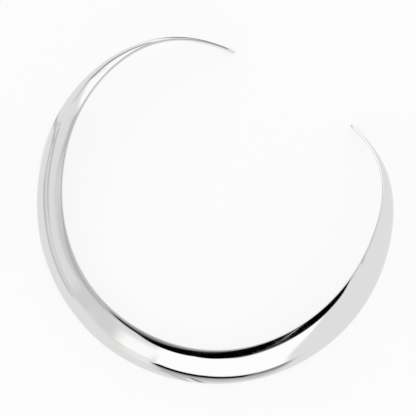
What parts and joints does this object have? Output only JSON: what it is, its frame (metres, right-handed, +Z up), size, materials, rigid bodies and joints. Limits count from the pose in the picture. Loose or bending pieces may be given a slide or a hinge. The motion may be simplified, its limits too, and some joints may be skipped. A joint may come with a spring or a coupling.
{
  "type": "collar choker",
  "caption": "Rigid open-backed neck collar: a domed, tapering band of mirror-polished silver sheet, arched over the shoulders, with thin rounded tips.",
  "frame": {"origin": "on the table under the middle of the collar's box; the collar rests on the lower edge of its throat and on its two tips", "axes": "-Y towards the throat, the widest part, worn at the front; +Y towards the open back; +X to the side; +Z up, away from the table and towards the chin"},
  "size_m": [0.1426, 0.1272, 0.0264],
  "materials": {
    "polished_silver": "mirror-polished sterling silver"
  },
  "bodies": {
    "root": {"collar_band": "polished_silver"}
  },
  "joints": []
}
